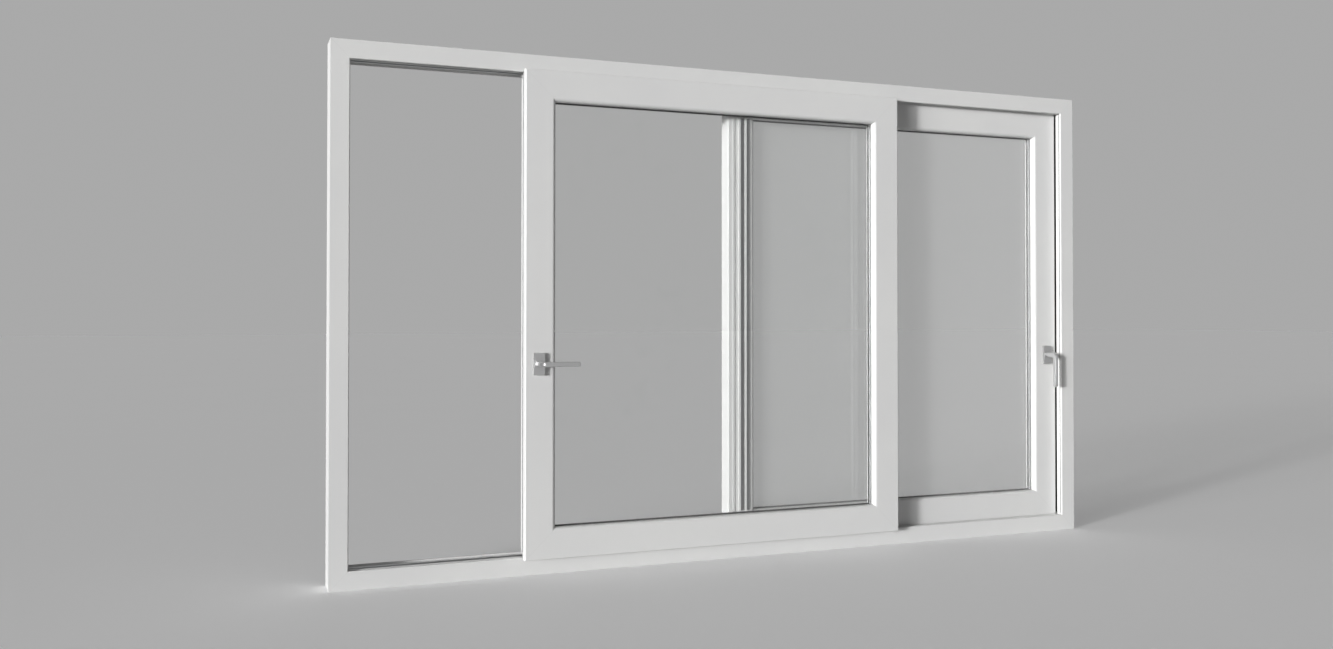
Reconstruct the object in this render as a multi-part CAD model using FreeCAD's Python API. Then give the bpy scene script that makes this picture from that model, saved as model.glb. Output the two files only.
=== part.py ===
"""Two-sash horizontal sliding window: welded plastic frame, two glazed sashes, two lever handles."""
import FreeCAD, Part
import math
import os

from FreeCAD import Vector

# Driving sizes in millimetres. X runs along the window, Y from the room to the outside, Z up.
# The origin is the middle of the sill's underside.
frame_width = 2500.0
frame_height = 1500.0
frame_face = 52.0
front_lip_depth = 24.0
rear_lip_depth = 6.0
channel_drop = 10.0
frame_edge_radius = 3.0
drain_width = 30.0
drain_height = 5.0
drain_spacing = 800.0

sash_depth = 50.0
front_sash_width = 1236.0
rear_sash_width = 1256.0
sash_face = 77.0
sash_member_width = 90.0
sash_edge_radius = 3.0
flange_edge_radius = 1.0
flange_thickness = 22.0
flange_overlap = 5.5
flange_gap = 6.0
running_gap = 5.0
edge_gap = 6.0
jamb_pocket_entry = 2.0
sash_travel = 476.0

rebate_floor = 70.0
bead_seat_depth = 10.0
bead_depth = 19.5
bead_round_radius = 11.0
glass_thickness = 4.0
glass_cavity = 12.0
gasket_thickness = 2.0
gasket_width = 8.0
gasket_lip = 1.0
glass_edge_gap = 4.0
spacer_width = 14.0

rail_fin = 4.0
rail_tip_radius = 1.0
rail_base_width = 8.0
rail_base_depth = 3.0
front_fin_height = 10.0
rear_fin_height = 9.0
front_rail_setback = 11.0
front_groove_width = 11.0
front_groove_depth = 12.0
groove_side_gap = 6.0
seal_groove_width = 4.0
seal_groove_depth = 4.0
seal_groove_setback = 8.0
wheel_radius = 8.0
wheel_gap = 0.3
wheel_width = 7.0
wheel_side_gap = 0.5
axle_radius = 2.0
groove_roof_gap = 4.0
carriage_length = 60.0
carriage_cheek = 1.5
carriage_saddle = 2.0
cheek_drop = 3.0
carriage_inset = 130.0
guide_length = 40.0
guide_bite = 6.0
guide_tongue_width = 10.0
stop_length = 20.0
stop_width = 10.0
stop_gap = 1.0
stop_wrap = 2.0

lock_strip_width = 10.0
lock_strip_thickness = 3.0
lock_groove_depth = 4.0
lock_groove_offset = 4.0
lock_strip_end = 20.0

interlock_setback = 15.0
interlock_width = 47.0
interlock_groove = 4.0
interlock_floor = 1.5
first_rib_width = 7.0
first_rib_stand = 1.0
narrow_groove_width = 4.0
middle_flat_width = 9.5
middle_lip_width = 6.5
middle_lip_stand = 2.5
wide_groove_width = 13.0
last_rib_stand = 5.0

handle_height = 607.0
handle_setback = 39.5
rosette_width = 32.0
rosette_height = 64.0
rosette_thickness = 9.0
rosette_corner = 3.0
rosette_edge = 1.0
spindle_radius = 6.0
spindle_clearance = 0.05
spindle_depth = 7.0
collar_radius = 10.5
collar_length = 3.0
neck_gap = 0.3
neck_height = 19.0
lever_stand = 57.0
lever_length = 110.0
grip_width = 14.0
grip_thickness = 15.0
grip_edge = 4.5
bend_radius = 17.0
bend_inside_radius = 6.0
tip_radius = 6.5

fixing_radius = 4.0
fixing_setback = 200.0
fixing_from_rear = 24.0
overrun = 1.0

# Sizes that follow from the ones above.
frame_depth = front_lip_depth + running_gap + sash_depth + running_gap + rear_lip_depth
half_width = frame_width / 2
front_y = -frame_depth / 2
rear_y = frame_depth / 2
channel_floor = frame_face - channel_drop
channel_front_y = front_y + front_lip_depth
channel_rear_y = rear_y - rear_lip_depth
glass_front = bead_depth + gasket_thickness
glass_rear = glass_front + 2 * glass_thickness + glass_cavity
rear_leg = glass_rear + gasket_thickness
groove_half = rail_fin / 2 + groove_side_gap

front_sash_y = front_y - flange_gap - flange_thickness
front_sash_bottom = frame_face - flange_overlap
front_sash_height = frame_height - 2 * front_sash_bottom
front_sash_left = -half_width + frame_face + edge_gap + sash_travel
front_body_edge = flange_overlap + running_gap
front_rail_y = front_y + front_rail_setback
front_rail_floor = frame_face - front_groove_depth
front_rail_drop = front_groove_depth - front_fin_height
front_groove_roof = flange_overlap - front_rail_drop + 2 * wheel_radius + groove_roof_gap

rear_sash_y = channel_front_y + running_gap
rear_sash_bottom = channel_floor + edge_gap
rear_sash_height = frame_height - 2 * rear_sash_bottom
rear_sash_left = half_width - frame_face - jamb_pocket_entry - rear_sash_width
rear_rail_y = rear_sash_y + sash_depth / 2
rear_groove_roof = rear_fin_height - edge_gap + 2 * wheel_radius + groove_roof_gap


def box(low, high):
    size = Vector(*high) - Vector(*low)
    return Part.makeBox(size.x, size.y, size.z, Vector(*low))


def rounded_wire(corners, place):
    """Closed wire through (a, b, radius) corners, with an arc wherever the radius is above zero."""
    flat = [Vector(a, b, 0) for a, b, radius in corners]
    count = len(flat)
    entries = []
    for i, (a, b, radius) in enumerate(corners):
        here = flat[i]
        if not radius:
            entries.append((here, None, here))
            continue
        back = (flat[i - 1] - here).normalize()
        ahead = (flat[(i + 1) % count] - here).normalize()
        half = back.getAngle(ahead) / 2
        middle_way = (back + ahead).normalize()
        reach = radius / math.tan(half)
        top = here + middle_way * (radius / math.sin(half) - radius)
        entries.append((here + back * reach, top, here + ahead * reach))
    edges = []
    for i, (start, top, end) in enumerate(entries):
        if top is not None:
            edges.append(Part.Arc(place(start), place(top), place(end)).toShape())
        following = entries[(i + 1) % count][0]
        if end.distanceToPoint(following) > 1e-6:
            edges.append(Part.LineSegment(place(end), place(following)).toShape())
    return Part.Wire(edges)


def extrusion(corners, place, way):
    return Part.Face(rounded_wire(corners, place)).extrude(way)


def sharp(points):
    return [(a, b, 0) for a, b in points]


def mitred_bar(section, corner, along, inward, length):
    """Bar of a (distance inward, y) section along one side of a rectangle, mitred at both ends."""
    def on_section(p):
        return corner + inward * p.x + Vector(0, p.y, 0)

    bar = extrusion(section, on_section, along * length)
    depth = max(a for a, b, radius in section) + overrun
    front = min(b for a, b, radius in section) - overrun
    rear = max(b for a, b, radius in section) + overrun

    def on_face(p):
        return corner + along * p.x + inward * p.y + Vector(0, front, 0)

    low, high = -overrun, length + overrun
    outline = sharp([(low, low), (high, low), (length - depth, depth), (depth, depth)])
    return bar.common(extrusion(outline, on_face, Vector(0, rear - front, 0)))


def rectangle_sides(left, bottom, width, height):
    """The four sides of an upright rectangle: start corner, way along, way inward and length."""
    right, top = left + width, bottom + height
    return {
        "bottom": (Vector(left, 0, bottom), Vector(1, 0, 0), Vector(0, 0, 1), width),
        "top": (Vector(left, 0, top), Vector(1, 0, 0), Vector(0, 0, -1), width),
        "left": (Vector(left, 0, bottom), Vector(0, 0, 1), Vector(1, 0, 0), height),
        "right": (Vector(right, 0, bottom), Vector(0, 0, 1), Vector(-1, 0, 0), height),
    }


def ring(left, bottom, width, height, band, y_low, y_high):
    outer = box((left, y_low, bottom), (left + width, y_high, bottom + height))
    low = (left + band, y_low - overrun, bottom + band)
    inner = box(low, (left + width - band, y_high + overrun, bottom + height - band))
    return outer.cut(inner)


def one_node(solids):
    return solids[0] if len(solids) == 1 else Part.makeCompound(solids)


def slot_points(surface, floor, middle_y, width):
    """Corners of a square slot cut into a surface of the frame, from the room side outwards."""
    low, high = middle_y - width / 2, middle_y + width / 2
    return [(surface, low), (floor, low), (floor, high), (surface, high)]


def rail_slot(surface, floor, middle_y, width):
    """The same slot with a seat for a rail's base in its floor."""
    rim = slot_points(surface, floor, middle_y, width)
    return rim[:2] + slot_points(floor, floor - rail_base_depth, middle_y, rail_base_width) + rim[2:]


def frame_section(with_tracks):
    """Frame section: front lip, sash channel and rear lip, with rail slots at top and bottom."""
    section = [(0, front_y, 0), (frame_face, front_y, frame_edge_radius)]
    if with_tracks:
        section += sharp(rail_slot(frame_face, front_rail_floor, front_rail_y, front_groove_width))
    else:
        seal_floor, seal_y = frame_face - seal_groove_depth, front_y + seal_groove_setback
        section += sharp(slot_points(frame_face, seal_floor, seal_y, seal_groove_width))
    section += sharp([(frame_face, channel_front_y), (channel_floor, channel_front_y)])
    if with_tracks:
        seat = channel_floor - rail_base_depth
        section += sharp(slot_points(channel_floor, seat, rear_rail_y, rail_base_width))
    section += sharp([(channel_floor, channel_rear_y), (frame_face, channel_rear_y)])
    return section + [(frame_face, rear_y, frame_edge_radius / 2), (0, rear_y, 0)]


def frame_pieces():
    sides = rectangle_sides(-half_width, 0, frame_width, frame_height)
    names = {"bottom": "frame_sill", "top": "frame_head"}
    names.update({"left": "frame_left_jamb", "right": "frame_right_jamb"})
    pieces = {}
    for side, name in names.items():
        section = frame_section(side in ("bottom", "top"))
        pieces[name] = mitred_bar(section, *sides[side])
    fixing_y = rear_y - fixing_from_rear
    for name, outer, way in (("frame_left_jamb", -half_width, 1), ("frame_right_jamb", half_width, -1)):
        for z in (fixing_setback, frame_height - fixing_setback):
            start = Vector(outer - way * overrun, fixing_y, z)
            hole = Part.makeCylinder(fixing_radius, frame_face + 2 * overrun, start, Vector(way, 0, 0))
            pieces[name] = pieces[name].cut(hole)
    for x in (-drain_spacing, 0, drain_spacing):
        low = (x - drain_width / 2, channel_rear_y - overrun, channel_floor)
        slot = box(low, (x + drain_width / 2, rear_y + overrun, channel_floor + drain_height))
        pieces["frame_sill"] = pieces["frame_sill"].cut(slot)
    return pieces


def track(y, floor, fin_height, end, upward):
    """T-shaped rail: its base lies in the frame's seat and its fin stands clear of it."""
    half_base, half_fin = rail_base_width / 2, rail_fin / 2
    section = sharp([(-half_base, -rail_base_depth), (half_base, -rail_base_depth)])
    section += sharp([(half_base, 0), (half_fin, 0)])
    section += [(half_fin, fin_height, rail_tip_radius), (-half_fin, fin_height, rail_tip_radius)]
    section += sharp([(-half_fin, 0), (-half_base, 0)])
    start = floor if upward else frame_height - floor
    sense = 1 if upward else -1

    def place(p):
        return Vector(-end, y + p.x, start + sense * p.y)

    return extrusion(section, place, Vector(2 * end, 0, 0))


def track_pieces():
    front_end = half_width - frame_face
    rear_end = half_width - channel_floor
    return {
        "front_running_rail": track(front_rail_y, front_rail_floor, front_fin_height, front_end, True),
        "rear_running_rail": track(rear_rail_y, channel_floor, rear_fin_height, rear_end, True),
        "front_guide_rail": track(front_rail_y, front_rail_floor, front_fin_height, front_end, False),
        "rear_guide_rail": track(rear_rail_y, channel_floor, rear_fin_height, rear_end, False),
    }


def sash_section(face_y, outer_edge):
    """Sash section from its room face to its outside leg, closed by the given outer edge."""
    section = [(sash_face, 0), (sash_face, bead_seat_depth), (rebate_floor, bead_seat_depth)]
    section += [(rebate_floor, rear_leg), (sash_member_width, rear_leg)]
    section = sharp(section) + [(sash_member_width, sash_depth, sash_edge_radius / 2)] + outer_edge
    return [(a, face_y + b, radius) for a, b, radius in section]


def rail_edge(body_edge, track_y, roof):
    """Outer edge of a top or bottom rail, with the groove that runs over the track."""
    low, high = track_y - groove_half, track_y + groove_half
    edge = sharp([(body_edge, sash_depth), (body_edge, high), (roof, high), (roof, low), (body_edge, low)])
    if body_edge:
        edge += [(body_edge, flange_thickness, 0), (0, flange_thickness, flange_edge_radius)]
    return edge + [(0, 0, sash_edge_radius)]


def lock_edge():
    """Outer edge of a lock stile, with the groove that holds the lock strip."""
    low = flange_thickness + lock_groove_offset
    high = low + lock_strip_width
    edge = [(0, sash_depth, sash_edge_radius / 2)]
    edge += sharp([(0, high), (lock_groove_depth, high), (lock_groove_depth, low), (0, low)])
    return edge + [(0, 0, sash_edge_radius)]


def meeting_edge(with_interlock):
    """Outer edge of a meeting stile, with the interlock's groove in its room face where it has one."""
    edge = [(0, sash_depth, sash_edge_radius / 2), (0, 0, sash_edge_radius)]
    if with_interlock:
        near, far = interlock_setback, interlock_setback + interlock_width
        edge += sharp([(near, 0), (near, interlock_groove), (far, interlock_groove), (far, 0)])
    return edge


def bead_section(face_y):
    """Glazing bead: a foot in the sash's rebate and a full round down to the glass."""
    section = [(sash_face, 0, 0), (sash_member_width, 0, bead_round_radius)]
    section += sharp([(sash_member_width, bead_depth), (rebate_floor, bead_depth)])
    section += sharp([(rebate_floor, bead_seat_depth), (sash_face, bead_seat_depth)])
    return [(a, face_y + b, radius) for a, b, radius in section]


def carriage(x, y, rail_top, roof):
    """Roller carriage: a saddle under the groove's roof, with an axle and a flanged wheel on the rail."""
    half, inside = carriage_length / 2, wheel_width / 2 + wheel_side_gap
    outside = inside + carriage_cheek
    centre_z = rail_top + wheel_gap + wheel_radius
    saddle = box((x - half, y - outside, roof - carriage_saddle), (x + half, y + outside, roof))
    for side in (-1, 1):
        low, high = sorted((y + side * inside, y + side * outside))
        saddle = saddle.fuse(box((x - half, low, centre_z - cheek_drop), (x + half, high, roof)))
    along_y = Vector(0, 1, 0)
    for offset in (-half / 2, half / 2):
        centre = Vector(x + offset, y, centre_z)
        wheel = Part.makeCylinder(wheel_radius, wheel_width, centre - along_y * wheel_width / 2, along_y)
        axle = Part.makeCylinder(axle_radius, 2 * outside, centre - along_y * outside, along_y)
        saddle = saddle.fuse(wheel).fuse(axle)
    return saddle.removeSplitter()


def guide(x, y, fin_edge, roof, sash_top):
    """Top guide: a block in the sash's groove, with a tongue that straddles the guide rail's fin."""
    half, tongue = guide_length / 2, guide_tongue_width / 2
    block = box((x - half, y - groove_half, roof), (x + half, y + groove_half, sash_top))
    block = block.fuse(box((x - half, y - tongue, roof), (x + half, y + tongue, fin_edge + guide_bite)))
    slot = rail_fin / 2 + wheel_gap
    low = (x - half - overrun, y - slot, fin_edge - wheel_gap)
    return block.cut(box(low, (x + half + overrun, y + slot, frame_height))).removeSplitter()


def sash_pieces(prefix, left, bottom, width, height, face_y, edges, body_edge, track_y, roof):
    """Members, beads, gaskets, glass and running gear of one sash."""
    sides = rectangle_sides(left, bottom, width, height)
    rail = rail_edge(body_edge, track_y - face_y, roof)
    members = {
        "left": ("left_stile", edges[0]),
        "right": ("right_stile", edges[1]),
        "top": ("top_rail", rail),
        "bottom": ("bottom_rail", rail),
    }
    low_y, high_y = track_y - groove_half, track_y + groove_half
    top = bottom + height
    clear = []
    for z_low, z_high in ((bottom - overrun, bottom + roof), (top - roof, top + overrun)):
        clear.append(box((left - overrun, low_y, z_low), (left + width + overrun, high_y, z_high)))
    if body_edge:
        far_corner = (left + width + overrun, face_y + sash_depth + overrun)
        for z_low, z_high in ((bottom - overrun, bottom + body_edge), (top - body_edge, top + overrun)):
            behind = face_y + flange_thickness
            clear.append(box((left - overrun, behind, z_low), (*far_corner, z_high)))
    pieces = {}
    for side, (name, edge) in members.items():
        member = mitred_bar(sash_section(face_y, edge), *sides[side])
        if side in ("left", "right"):
            for space in clear:
                member = member.cut(space)
        pieces[f"{prefix}_{name}"] = member
        pieces[f"{prefix}_{side}_bead"] = mitred_bar(bead_section(face_y), *sides[side])

    seal_in = sash_member_width + gasket_lip - gasket_width
    seal = (left + seal_in, bottom + seal_in, width - 2 * seal_in, height - 2 * seal_in)
    front_seal = ring(*seal, gasket_width, face_y + bead_depth, face_y + glass_front)
    rear_seal = ring(*seal, gasket_width, face_y + glass_rear, face_y + rear_leg)
    pieces[f"{prefix}_glazing_gaskets"] = Part.makeCompound([front_seal, rear_seal])

    glass_in = rebate_floor + glass_edge_gap
    panes = []
    for y in (face_y + glass_front, face_y + glass_rear - glass_thickness):
        low = (left + glass_in, y, bottom + glass_in)
        panes.append(box(low, (left + width - glass_in, y + glass_thickness, top - glass_in)))
    pieces[f"{prefix}_glass_panes"] = Part.makeCompound(panes)
    cavity = face_y + glass_front + glass_thickness
    unit = (left + glass_in, bottom + glass_in, width - 2 * glass_in, height - 2 * glass_in)
    pieces[f"{prefix}_spacer"] = ring(*unit, spacer_width, cavity, cavity + glass_cavity)
    return pieces


def running_gear(prefix, left, bottom, width, height, track_y, rail_top, body_edge, roof):
    """Two roller carriages below the sash and two guides above it."""
    places = (left + carriage_inset, left + width - carriage_inset)
    fin_edge = frame_height - rail_top
    top = bottom + height
    low_roof, top_roof, body_top = bottom + roof, top - roof, top - body_edge
    return {
        f"{prefix}_roller_carriages": one_node([carriage(x, track_y, rail_top, low_roof) for x in places]),
        f"{prefix}_top_guides": one_node([guide(x, track_y, fin_edge, top_roof, body_top) for x in places]),
    }


def lock_strip(edge_x, inward, bottom, height, face_y):
    """Steel strip in the lock stile's groove, a little below the stile's edge."""
    low_y = face_y + flange_thickness + lock_groove_offset
    near = edge_x + inward * (lock_groove_depth - lock_strip_thickness)
    far = edge_x + inward * lock_groove_depth
    low_x, high_x = sorted((near, far))
    low = (low_x, low_y, bottom + lock_strip_end)
    return box(low, (high_x, low_y + lock_strip_width, bottom + height - lock_strip_end))


def interlock_strip():
    """Three-ribbed interlock in the rear meeting stile's groove, where the front sash's stile passes it."""
    deep = interlock_groove - interlock_floor
    flat = first_rib_width + narrow_groove_width
    lip = flat + middle_flat_width
    lip_end = lip + middle_lip_width
    last_rib = lip_end + wide_groove_width
    far = interlock_width
    section = sharp([(0, interlock_groove), (far, interlock_groove)])
    section += sharp([(far, -last_rib_stand), (last_rib, -last_rib_stand)])
    section += sharp([(last_rib, deep), (lip_end, deep), (lip_end, -middle_lip_stand)])
    section += sharp([(lip, -middle_lip_stand), (lip, 0), (flat, 0), (flat, deep)])
    section += sharp([(first_rib_width, deep), (first_rib_width, -first_rib_stand), (0, -first_rib_stand)])
    start_z = rear_sash_bottom + sash_member_width
    length = rear_sash_height - 2 * sash_member_width

    def place(p):
        return Vector(rear_sash_left + interlock_setback + p.x, rear_sash_y + p.y, start_z)

    return extrusion(section, place, Vector(0, 0, length))


def rosette(x, face_y):
    """Rectangular handle plate with rounded corners and a bore for the lever's spindle."""
    half_w, half_h = rosette_width / 2, rosette_height / 2
    corners = [(-half_w, -half_h), (half_w, -half_h), (half_w, half_h), (-half_w, half_h)]
    outline = [(a, b, rosette_corner) for a, b in corners]

    def place(p):
        return Vector(x + p.x, face_y, handle_height + p.y)

    plate = extrusion(outline, place, Vector(0, -rosette_thickness, 0))
    front = face_y - rosette_thickness
    rim = [e for e in plate.Edges if abs(e.BoundBox.YMin - front) < 1e-6 and e.BoundBox.YLength < 1e-6]
    plate = plate.makeChamfer(rosette_edge, rim)
    start = Vector(x, front - overrun, handle_height)
    radius = spindle_radius + spindle_clearance
    return plate.cut(Part.makeCylinder(radius, spindle_depth + 2 * overrun, start, Vector(0, 1, 0)))


def lever(x, face_y, turn):
    """Lever: spindle, collar and a bar bent from neck to grip, made hanging and turned about the spindle."""
    neck_start = face_y - rosette_thickness - neck_gap
    grip_front = face_y - lever_stand
    grip_back = grip_front + grip_thickness
    top, under = handle_height + neck_height / 2, handle_height - neck_height / 2
    end = handle_height - lever_length
    outline = [(neck_start, under, 0), (neck_start, top, 0), (grip_front, top, bend_radius)]
    outline += [(grip_front, end, tip_radius), (grip_back, end, tip_radius)]
    outline += [(grip_back, under, bend_inside_radius)]

    def place(p):
        return Vector(x - grip_width / 2, p.x, p.y)

    bar = extrusion(outline, place, Vector(grip_width, 0, 0))
    boxes = [(e, e.BoundBox) for e in bar.Edges]
    rims = [e for e, bound in boxes if bound.XLength < 1e-6 and bound.YMin < neck_start - 1e-6]
    bar = bar.makeFillet(grip_edge, rims)
    axis = Vector(x, neck_start, handle_height)
    room = Vector(0, -1, 0)
    collar = Part.makeCylinder(collar_radius, collar_length, axis, room)
    reach = spindle_depth - overrun + neck_gap
    spindle = Part.makeCylinder(spindle_radius, reach + collar_length, axis - room * reach, room)
    whole = bar.fuse(collar).fuse(spindle).removeSplitter()
    whole.rotate(axis, Vector(0, 1, 0), turn)
    return whole


def travel_stop(y, floor, fin_height, low_x):
    """Block on a guide rail's fin, which a top guide meets when its sash is fully open."""
    half, high_x = stop_width / 2, low_x + stop_length
    fin_edge = frame_height - floor - fin_height
    block = box((low_x, y - half, fin_edge - stop_wrap), (high_x, y + half, frame_height - floor))
    low_y, high_y = y - rail_fin / 2, y + rail_fin / 2
    return block.cut(box((low_x - overrun, low_y, fin_edge), (high_x + overrun, high_y, frame_height)))


def travel_stops():
    reach = guide_length / 2 + stop_gap
    front_x = front_sash_left + carriage_inset + reach
    rear_x = rear_sash_left + rear_sash_width - carriage_inset - sash_travel - reach - stop_length
    return {
        "front_travel_stop": travel_stop(front_rail_y, front_rail_floor, front_fin_height, front_x),
        "rear_travel_stop": travel_stop(rear_rail_y, channel_floor, rear_fin_height, rear_x),
    }


def build():
    pieces = frame_pieces()
    pieces.update(track_pieces())
    pieces.update(travel_stops())
    front = ("front_sash", front_sash_left, front_sash_bottom, front_sash_width, front_sash_height)
    rear = ("rear_sash", rear_sash_left, rear_sash_bottom, rear_sash_width, rear_sash_height)
    front_edges = (lock_edge(), meeting_edge(False))
    rear_edges = (meeting_edge(True), lock_edge())
    front_run = (front_body_edge, front_rail_y, front_groove_roof)
    rear_run = (0, rear_rail_y, rear_groove_roof)
    pieces.update(sash_pieces(*front, front_sash_y, front_edges, *front_run))
    pieces.update(sash_pieces(*rear, rear_sash_y, rear_edges, *rear_run))
    front_rail_top = front_rail_floor + front_fin_height
    rear_rail_top = channel_floor + rear_fin_height
    pieces.update(running_gear(*front, front_rail_y, front_rail_top, front_body_edge, front_groove_roof))
    pieces.update(running_gear(*rear, rear_rail_y, rear_rail_top, 0, rear_groove_roof))
    rear_sash_right = rear_sash_left + rear_sash_width
    front_span = (front_sash_bottom, front_sash_height)
    rear_span = (rear_sash_bottom, rear_sash_height)
    pieces["front_lock_strip"] = lock_strip(front_sash_left, 1, *front_span, front_sash_y)
    pieces["rear_lock_strip"] = lock_strip(rear_sash_right, -1, *rear_span, rear_sash_y)
    pieces["rear_interlock_strip"] = interlock_strip()
    front_handle_x = front_sash_left + handle_setback
    rear_handle_x = rear_sash_right - handle_setback
    pieces["front_handle_rosette"] = rosette(front_handle_x, front_sash_y)
    pieces["rear_handle_rosette"] = rosette(rear_handle_x, rear_sash_y)
    pieces["front_handle_lever"] = lever(front_handle_x, front_sash_y, -90)
    pieces["rear_handle_lever"] = lever(rear_handle_x, rear_sash_y, 0)
    return pieces


os.makedirs("parts", exist_ok=True)
for node, shape in build().items():
    shape.exportStep(f"parts/{node}.step")
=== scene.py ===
# %% [markdown]
# # A sliding window, from solids to a finished picture
#
# This lesson dresses a two-sash sliding window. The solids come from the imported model, so every size is
# already right, and Blender adds the finishes, the small fittings, the light and the camera. Lengths are
# in metres. X runs along the window, Y from the room to the outside, and Z is up.

# %% Load the window's solids
import math
import random

import bmesh
import bpy
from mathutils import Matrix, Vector


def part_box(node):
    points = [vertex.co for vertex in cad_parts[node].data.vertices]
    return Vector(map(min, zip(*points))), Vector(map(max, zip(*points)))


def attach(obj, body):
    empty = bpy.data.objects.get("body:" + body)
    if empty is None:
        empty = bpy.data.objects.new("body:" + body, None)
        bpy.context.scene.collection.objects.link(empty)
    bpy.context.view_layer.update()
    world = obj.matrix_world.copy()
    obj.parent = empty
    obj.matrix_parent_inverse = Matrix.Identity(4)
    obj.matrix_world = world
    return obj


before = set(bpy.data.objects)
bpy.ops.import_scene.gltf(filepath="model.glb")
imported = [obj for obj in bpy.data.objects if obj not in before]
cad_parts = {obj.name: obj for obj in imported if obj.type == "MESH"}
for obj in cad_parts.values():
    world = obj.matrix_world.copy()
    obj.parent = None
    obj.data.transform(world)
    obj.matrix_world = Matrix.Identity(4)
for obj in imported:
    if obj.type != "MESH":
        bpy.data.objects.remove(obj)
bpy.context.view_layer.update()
MM = 0.001

# %% [markdown]
# ## Camera
#
# The picture was taken from inside the room, a little left of the window and at half its height. A lens
# and a place that make the frame's four corners fall where the picture has them could be found by trial,
# but solving for them from straight edges is quicker and leaves nothing to taste. The middle of the
# picture isn't the middle of the lens, and a small shift takes care of that.

# %% Camera at the picture's viewing angle
LENS_MM = 31.474
SENSOR_MM = 36.0
LENS_SHIFT = (-0.0151, -0.0209)
YAW_DEG = 21.927
PITCH_DEG = 0.789
CAMERA_AT = (-1.5306, -3.3273, 0.7538)

camera_data = bpy.data.cameras.new("camera")
camera_data.sensor_width = SENSOR_MM
camera_data.lens = LENS_MM
camera_data.shift_x, camera_data.shift_y = LENS_SHIFT
camera = bpy.data.objects.new("camera", camera_data)
camera.location = CAMERA_AT
camera.rotation_euler = (math.radians(90 + PITCH_DEG), 0, math.radians(-YAW_DEG))
bpy.context.scene.collection.objects.link(camera)
bpy.context.scene.camera = camera
bpy.context.scene.view_settings.view_transform = "Standard"
print("camera at", CAMERA_AT, "lens", LENS_MM)

# %% [markdown]
# ## Helpers for node groups
#
# A shader node group is a small machine with named inputs and outputs. Built once, it can be placed in
# many materials with other values. The helpers below make an empty group, add nodes and join them, so
# that the cells after them can be read as recipes. A Mix node has sockets for numbers, vectors and
# colours under the same names, so those for colours are picked by number.

# %% Helpers that start a group and join nodes
MIX_COLOUR_INPUTS = (0, 6, 7)
MIX_COLOUR_OUTPUT = 2


def start_group(name, inputs, outputs):
    """New shader node group. Inputs are name: (kind, default); outputs are name: kind."""
    group = bpy.data.node_groups.new(name, "ShaderNodeTree")
    for label, (kind, value) in inputs.items():
        socket = group.interface.new_socket(name=label, in_out="INPUT", socket_type=f"NodeSocket{kind}")
        socket.default_value = value
    for label, kind in outputs.items():
        group.interface.new_socket(name=label, in_out="OUTPUT", socket_type=f"NodeSocket{kind}")
    start = group.nodes.new("NodeGroupInput")
    end = group.nodes.new("NodeGroupOutput")
    return group, start.outputs, end.inputs


def feed(tree, socket, value):
    """Give a socket another node's output, or else a plain number or colour."""
    if isinstance(value, bpy.types.NodeSocket):
        tree.links.new(value, socket)
    else:
        socket.default_value = value


def add(tree, kind, settings=None, **sockets):
    """New node. Settings are its own properties; a socket gets a number or another node's output."""
    node = tree.nodes.new(f"ShaderNode{kind}")
    for label, value in (settings or {}).items():
        setattr(node, label, value)
    for label, value in sockets.items():
        feed(tree, node.inputs[label.replace("_", " ")], value)
    return node


def maths(tree, operation, *values):
    """Output of one Math node whose inputs are numbers or other outputs."""
    node = tree.nodes.new("ShaderNodeMath")
    node.operation = operation
    for socket, value in zip(node.inputs, values):
        feed(tree, socket, value)
    return node.outputs[0]


def fade(tree, value, low, high):
    """Output that rises smoothly from 0 where value is low to 1 where it is high."""
    settings = {"interpolation_type": "SMOOTHSTEP"}
    node = add(tree, "MapRange", settings, Value=value, From_Min=low, From_Max=high)
    return node.outputs["Result"]


def blend_colours(tree, factor, first, second):
    """Output of one Mix node between two colours, each a tuple or another output."""
    node = add(tree, "Mix", {"data_type": "RGBA"})
    for number, value in zip(MIX_COLOUR_INPUTS, (factor, first, second)):
        feed(tree, node.inputs[number], value)
    return node.outputs[MIX_COLOUR_OUTPUT]


print("helpers ready")

# %% [markdown]
# ## Shared effects
#
# Five things show on more than one finish. Profiles, rails and handles are drawn through a die or
# brushed, which leaves faint lines along their length. Every surface has a soft mottle that keeps it from
# looking like one flat colour. Dust settles on what faces up. Welded corners have a fine seam where two
# profiles meet. The spacers of both glass units have two rows of tiny holes, which let the grains inside
# dry the air between the panes.


# %% Lines along a drawn or brushed piece
def make_drawn_lines():
    group, give, take = start_group(
        "drawn_lines",
        {"Stretch": ("Vector", (1.0, 1.0, 1.0))},
        {"Mask": "Float"})
    place = add(group, "TexCoord").outputs["Object"]
    drawn = add(group, "VectorMath", {"operation": "MULTIPLY"})
    group.links.new(place, drawn.inputs[0])
    group.links.new(give["Stretch"], drawn.inputs[1])
    fine = add(group, "TexNoise", Vector=drawn.outputs[0], Scale=1.0, Detail=3.0, Roughness=0.6)
    group.links.new(fine.outputs["Fac"], take["Mask"])
    return group


drawn_lines = make_drawn_lines()
print("group:", drawn_lines.name)


# %% Soft mottle
def make_soft_mottle():
    group, give, take = start_group(
        "soft_mottle",
        {"Broad": ("Float", 3.0), "Fine": ("Float", 160.0)},
        {"Broad": "Float", "Fine": "Float"})
    place = add(group, "TexCoord").outputs["Object"]
    broad = add(group, "TexNoise", Vector=place, Detail=4.0, Roughness=0.55)
    fine = add(group, "TexNoise", Vector=place, Detail=2.0, Roughness=0.5)
    group.links.new(give["Broad"], broad.inputs["Scale"])
    group.links.new(give["Fine"], fine.inputs["Scale"])
    group.links.new(broad.outputs["Fac"], take["Broad"])
    group.links.new(fine.outputs["Fac"], take["Fine"])
    return group


soft_mottle = make_soft_mottle()
print("group:", soft_mottle.name)


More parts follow.
